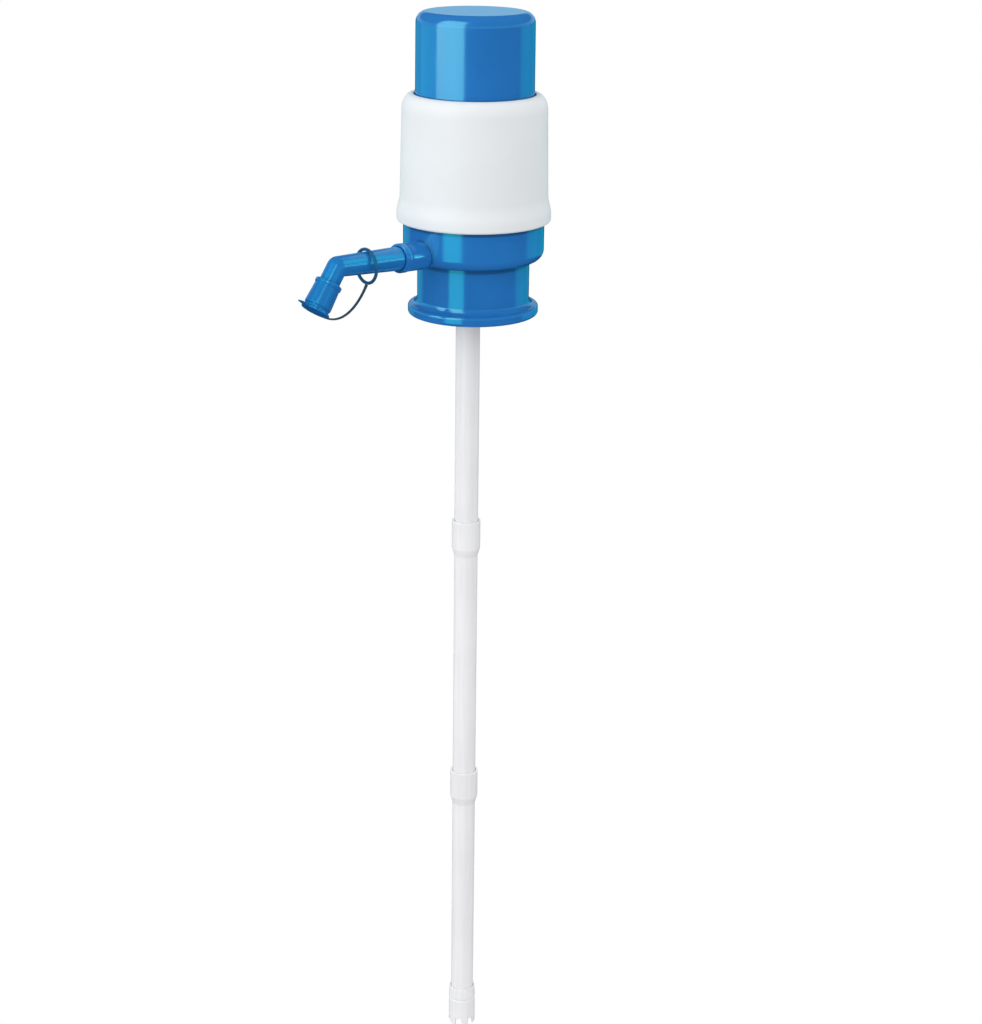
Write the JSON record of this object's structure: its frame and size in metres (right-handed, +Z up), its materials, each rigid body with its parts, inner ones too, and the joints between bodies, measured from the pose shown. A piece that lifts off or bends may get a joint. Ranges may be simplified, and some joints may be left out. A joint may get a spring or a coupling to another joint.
{
  "type": "water jug hand pump",
  "caption": "Hand pump for a large water jug: a sprung press cap over a bellows in a sleeve, a grip for the jug's neck, a swivel spout with a tethered cap and a push-fit dip tube.",
  "frame": {"origin": "centre of the jug's rim, at the underside of the neck gasket", "axes": "+Z up along the pump, -Y out of the head along the spout, +X across"},
  "size_m": [0.0806, 0.1582, 0.5905],
  "materials": {
    "blue_plastic": "glossy moulded plastic",
    "white_plastic": "satin moulded plastic",
    "milky_plastic": "milky extruded tube",
    "soft_blue": "soft moulded plastic",
    "bellows_plastic": "blow-moulded, translucent",
    "grey_rubber": "moulded rubber",
    "silicone": "clear silicone"
  },
  "bodies": {
    "head": {"collar_sleeve": "white_plastic", "base_body": "blue_plastic", "neck_skirt": "blue_plastic", "neck_grip_sleeve": "grey_rubber", "neck_gasket": "grey_rubber", "valve_deck": "white_plastic", "outlet_valve": "silicone", "deck_seal": "grey_rubber", "bellows_clamp_lower": "white_plastic", "bellows": "bellows_plastic"},
    "press_cap": {"press_cap": "blue_plastic", "bellows_top_disc": "white_plastic", "intake_valve": "silicone", "bellows_clamp_upper": "white_plastic"},
    "spout": {"spout_pipe": "blue_plastic", "spout_o_ring": "grey_rubber"},
    "tether": {"tether_ring": "soft_blue", "tether_strap": "soft_blue"},
    "nozzle_cap": {"nozzle_cap": "soft_blue"},
    "tube_upper": {"tube_upper": "milky_plastic"},
    "tube_middle": {"tube_middle": "milky_plastic"},
    "tube_lower": {"tube_lower": "milky_plastic", "tube_foot": "milky_plastic"}
  },
  "joints": [
    {"name": "cap_press", "type": "slide", "parent": "head", "child": "press_cap", "axis": [0, 0, -1], "range_m": [0, 0.038], "stiffness_N_per_m": 900, "springref_m": -0.004, "deforming": ["bellows"]},
    {"name": "spout_swivel", "type": "hinge", "parent": "head", "child": "spout", "pos_m": [0, -0.0475, 0.00979], "axis": [0, -0.9989, 0.0471], "continuous": true},
    {"name": "tether_slide", "type": "slide", "parent": "spout", "child": "tether", "axis": [0, -0.9989, 0.0471], "range_m": [0, 0.01455]},
    {"name": "nozzle_cap_pull", "type": "slide", "parent": "tether", "child": "nozzle_cap", "axis": [0, 0.3755, -0.9268], "range_m": [0, 0.01425], "deforming": ["tether_strap"]},
    {"name": "tube_upper_pull", "type": "slide", "parent": "head", "child": "tube_upper", "axis": [0, 0, -1], "range_m": [0, 0.017]},
    {"name": "tube_middle_pull", "type": "slide", "parent": "tube_upper", "child": "tube_middle", "axis": [0, 0, -1], "range_m": [0, 0.017]},
    {"name": "tube_lower_pull", "type": "slide", "parent": "tube_middle", "child": "tube_lower", "axis": [0, 0, -1], "range_m": [0, 0.017]}
  ],
  "couplings": [
    {"joint": "tether_slide", "follows": "nozzle_cap_pull", "ratio": 1.0176}
  ]
}
